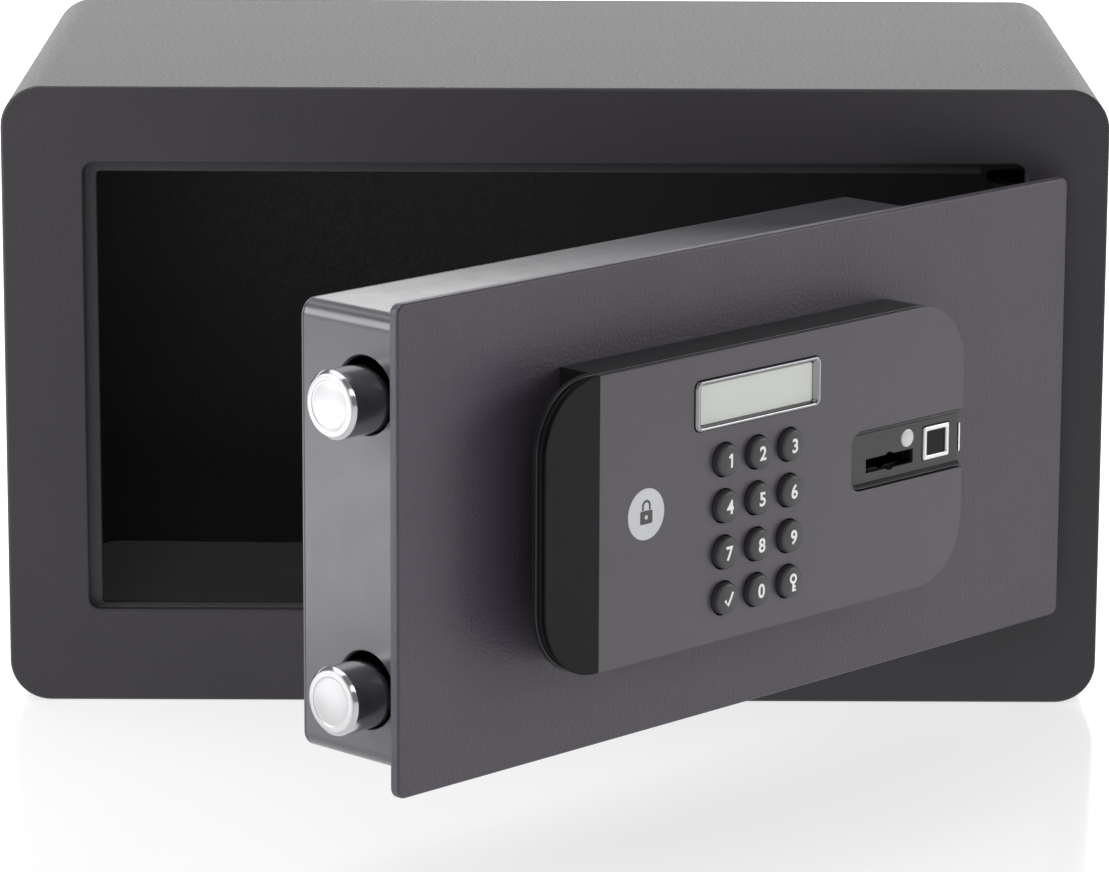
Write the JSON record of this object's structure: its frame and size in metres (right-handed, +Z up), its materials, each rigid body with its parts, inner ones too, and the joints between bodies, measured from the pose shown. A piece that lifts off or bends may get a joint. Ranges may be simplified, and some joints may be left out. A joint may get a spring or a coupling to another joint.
{
  "type": "in-room safe",
  "caption": "Compact steel room safe with a side-hinged door, motor-driven bolts, keypad, display and a finger-pull fascia.",
  "frame": {"origin": "centre of the cabinet's base, on the surface it stands on", "axes": "+Z up, the front with the door faces -Y, +X is to the right seen from the front"},
  "size_m": [0.35, 0.4203, 0.2],
  "materials": {
    "body_paint": "fine textured powder coat, satin charcoal",
    "felt": "needle felt, black",
    "zinc_steel": "bright zinc plate",
    "chrome": "polished plating",
    "door_paint": "fine textured powder coat, mid grey",
    "housing_paint": "fine textured powder coat, lighter grey",
    "dark_steel": "blackened, satin",
    "circuit_board": "green solder mask",
    "black_plastic": "satin black moulding",
    "battery_label": "dense cell in a printed sleeve",
    "gloss_black": "gloss",
    "satin_grey": "satin grey with a bright edge line",
    "display_glass": "pale display window",
    "badge_silver": "plain satin disc",
    "panel_plastic": "satin dark grey moulding",
    "lens_plastic": "milky lens",
    "key_rubber": "dark silicone rubber with pale printing"
  },
  "bodies": {
    "cabinet": {"cabinet_shell": "body_paint", "front_frame": "body_paint", "back_panel": "body_paint", "floor_mat": "felt", "strike_bar": "zinc_steel", "upper_hinge_bracket": "dark_steel", "lower_hinge_bracket": "dark_steel", "upper_hinge_pin": "chrome", "lower_hinge_pin": "chrome"},
    "door": {"upper_hinge_arm": "dark_steel", "lower_hinge_arm": "dark_steel", "door_plate": "door_paint", "lock_housing": "housing_paint", "rear_cover": "housing_paint", "battery_hatch": "housing_paint", "cover_screw_lower_left": "zinc_steel", "cover_screw_lower_right": "zinc_steel", "cover_screw_upper_left": "zinc_steel", "cover_screw_upper_right": "zinc_steel", "upper_bolt_guide": "black_plastic", "lower_bolt_guide": "black_plastic", "gearbox": "zinc_steel", "drive_motor": "chrome", "main_circuit_board": "circuit_board", "keypad_board": "circuit_board", "battery_holder": "black_plastic", "battery_cell_1": "battery_label", "battery_cell_2": "battery_label", "battery_cell_3": "battery_label", "battery_cell_4": "battery_label", "fascia_base": "black_plastic", "pull_end_cap": "gloss_black", "fascia_plate": "satin_grey", "display_bezel": "chrome", "display_screen": "display_glass", "badge_disc": "badge_silver", "service_panel": "panel_plastic", "service_port_shell": "chrome", "service_port_insert": "black_plastic", "indicator_lens": "lens_plastic", "cover_catch": "chrome", "override_lock_case": "zinc_steel"},
    "bolts": {"upper_bolt": "chrome", "lower_bolt": "chrome", "bolt_carriage": "zinc_steel"},
    "pinion": {"drive_pinion": "zinc_steel"},
    "override_rotor": {"override_lock_rotor": "dark_steel"},
    "key_1": {"key_1": "key_rubber"},
    "key_2": {"key_2": "key_rubber"},
    "key_3": {"key_3": "key_rubber"},
    "key_4": {"key_4": "key_rubber"},
    "key_5": {"key_5": "key_rubber"},
    "key_6": {"key_6": "key_rubber"},
    "key_7": {"key_7": "key_rubber"},
    "key_8": {"key_8": "key_rubber"},
    "key_9": {"key_9": "key_rubber"},
    "key_tick": {"key_tick": "key_rubber"},
    "key_0": {"key_0": "key_rubber"},
    "key_lock": {"key_lock": "key_rubber"}
  },
  "joints": [
    {"name": "door_swing", "type": "hinge", "parent": "cabinet", "child": "door", "pos_m": [0.1653, -0.0881, 0.1], "axis": [0, 0, 1], "range_deg": [-45.8, 44.2]},
    {"name": "bolt_throw", "type": "slide", "parent": "door", "child": "bolts", "axis": [-0.6972, -0.7169, 0], "range_m": [-0.0137, 0]},
    {"name": "pinion_turn", "type": "hinge", "parent": "door", "child": "pinion", "pos_m": [0.00762, -0.23676, 0.087], "axis": [0.7169, -0.6972, 0], "range_deg": [-78.5, 0]},
    {"name": "override_turn", "type": "hinge", "parent": "door", "child": "override_rotor", "pos_m": [0.09548, -0.18751, 0.10135], "axis": [0.7169, -0.6972, 0], "range_deg": [0, 90]},
    {"name": "key_1_press", "type": "slide", "parent": "door", "child": "key_1", "axis": [-0.7169, 0.6972, 0], "range_m": [0, 0.001], "stiffness_N_per_m": 400},
    {"name": "key_2_press", "type": "slide", "parent": "door", "child": "key_2", "axis": [-0.7169, 0.6972, 0], "range_m": [0, 0.001], "stiffness_N_per_m": 400},
    {"name": "key_3_press", "type": "slide", "parent": "door", "child": "key_3", "axis": [-0.7169, 0.6972, 0], "range_m": [0, 0.001], "stiffness_N_per_m": 400},
    {"name": "key_4_press", "type": "slide", "parent": "door", "child": "key_4", "axis": [-0.7169, 0.6972, 0], "range_m": [0, 0.001], "stiffness_N_per_m": 400},
    {"name": "key_5_press", "type": "slide", "parent": "door", "child": "key_5", "axis": [-0.7169, 0.6972, 0], "range_m": [0, 0.001], "stiffness_N_per_m": 400},
    {"name": "key_6_press", "type": "slide", "parent": "door", "child": "key_6", "axis": [-0.7169, 0.6972, 0], "range_m": [0, 0.001], "stiffness_N_per_m": 400},
    {"name": "key_7_press", "type": "slide", "parent": "door", "child": "key_7", "axis": [-0.7169, 0.6972, 0], "range_m": [0, 0.001], "stiffness_N_per_m": 400},
    {"name": "key_8_press", "type": "slide", "parent": "door", "child": "key_8", "axis": [-0.7169, 0.6972, 0], "range_m": [0, 0.001], "stiffness_N_per_m": 400},
    {"name": "key_9_press", "type": "slide", "parent": "door", "child": "key_9", "axis": [-0.7169, 0.6972, 0], "range_m": [0, 0.001], "stiffness_N_per_m": 400},
    {"name": "key_tick_press", "type": "slide", "parent": "door", "child": "key_tick", "axis": [-0.7169, 0.6972, 0], "range_m": [0, 0.001], "stiffness_N_per_m": 400},
    {"name": "key_0_press", "type": "slide", "parent": "door", "child": "key_0", "axis": [-0.7169, 0.6972, 0], "range_m": [0, 0.001], "stiffness_N_per_m": 400},
    {"name": "key_lock_press", "type": "slide", "parent": "door", "child": "key_lock", "axis": [-0.7169, 0.6972, 0], "range_m": [0, 0.001], "stiffness_N_per_m": 400}
  ],
  "couplings": [
    {"joint": "pinion_turn", "follows": "bolt_throw", "rad_per_m": 100}
  ]
}
